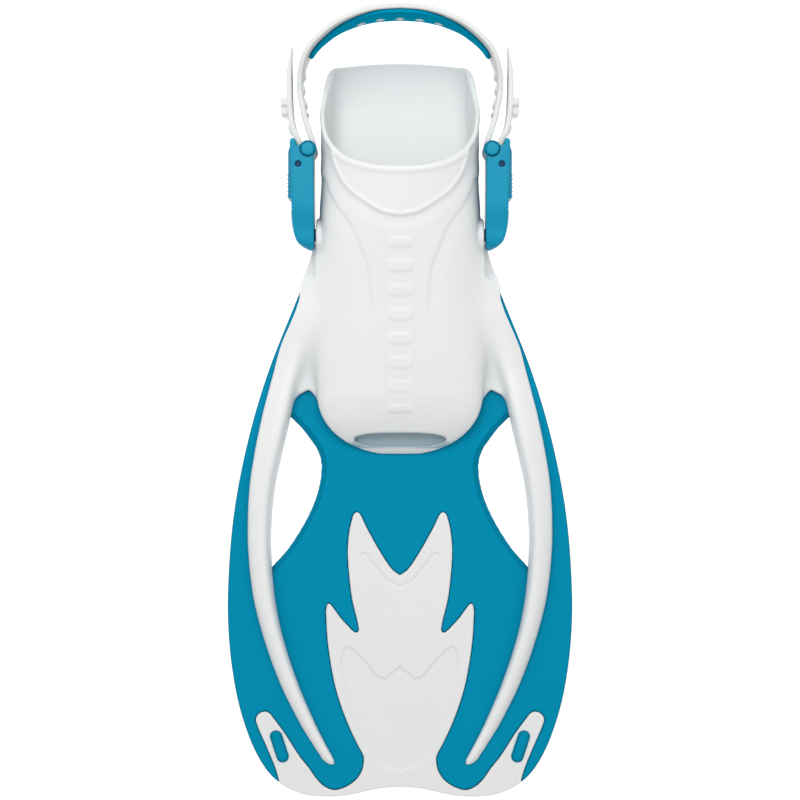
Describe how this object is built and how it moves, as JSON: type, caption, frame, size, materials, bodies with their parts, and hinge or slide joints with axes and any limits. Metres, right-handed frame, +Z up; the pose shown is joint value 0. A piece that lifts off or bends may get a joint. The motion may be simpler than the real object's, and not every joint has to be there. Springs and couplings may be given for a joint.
{
  "type": "open-heel swim fin",
  "caption": "Open-heel short swim fin: vented plastic blade with elastomer foot pocket, side rails and flame inlay, toothed heel strap and swivelling ratchet buckles.",
  "frame": {"origin": "centre of the bounding box's underside: the floor that the heel tread and the two lobes of the blade tip stand on, in the fin's plane of symmetry", "axes": "+Y from the blade tip to the heel, +Z up out of the foot pocket's instep, +X across the fin"},
  "size_m": [0.1956, 0.4468, 0.081],
  "materials": {
    "blade_plastic": "satin moulded polypropylene",
    "pocket_elastomer": "satin white elastomer",
    "panel_elastomer": "satin white elastomer",
    "strap_elastomer": "satin white elastomer",
    "pad_elastomer": "satin blue elastomer",
    "buckle_plastic": "semi-gloss moulded acetal",
    "lever_plastic": "semi-gloss moulded acetal",
    "pin_plastic": "semi-gloss moulded acetal",
    "stud_plastic": "semi-gloss moulded acetal",
    "spring_steel": "stainless spring wire"
  },
  "bodies": {
    "fin": {"blade": "blade_plastic", "foot_pocket": "pocket_elastomer", "left_rail": "pocket_elastomer", "right_rail": "pocket_elastomer", "channel_panel": "panel_elastomer", "left_pivot_stud": "stud_plastic", "right_pivot_stud": "stud_plastic"},
    "strap_assembly": {"heel_strap": "strap_elastomer", "heel_pad": "pad_elastomer", "left_buckle_frame": "buckle_plastic", "right_buckle_frame": "buckle_plastic", "left_lever_pin": "pin_plastic", "right_lever_pin": "pin_plastic", "left_lever_spring": "spring_steel", "right_lever_spring": "spring_steel"},
    "left_roller": {"left_roller_pin": "pin_plastic"},
    "right_roller": {"right_roller_pin": "pin_plastic"},
    "left_lever": {"left_release_lever": "lever_plastic"},
    "right_lever": {"right_release_lever": "lever_plastic"}
  },
  "joints": [
    {"name": "strap_swing", "type": "hinge", "parent": "fin", "child": "strap_assembly", "pos_m": [0, 0.0958, 0.04], "axis": [1, 0, 0], "range_deg": [-40, 120]},
    {"name": "left_roller_spin", "type": "hinge", "parent": "strap_assembly", "child": "left_roller", "pos_m": [-0.051, 0.1427, 0.04], "axis": [0, 0, 1], "continuous": true},
    {"name": "right_roller_spin", "type": "hinge", "parent": "strap_assembly", "child": "right_roller", "pos_m": [0.051, 0.1427, 0.04], "axis": [0, 0, 1], "continuous": true},
    {"name": "left_lever_press", "type": "hinge", "parent": "strap_assembly", "child": "left_lever", "pos_m": [-0.0563, 0.1345, 0.04], "axis": [0, 0, 1], "range_deg": [0, 12], "stiffness_Nm_per_rad": 0.05, "springref_deg": -5.73},
    {"name": "right_lever_press", "type": "hinge", "parent": "strap_assembly", "child": "right_lever", "pos_m": [0.0563, 0.1345, 0.04], "axis": [0, 0, -1], "range_deg": [0, 12], "stiffness_Nm_per_rad": 0.05, "springref_deg": -5.73}
  ]
}
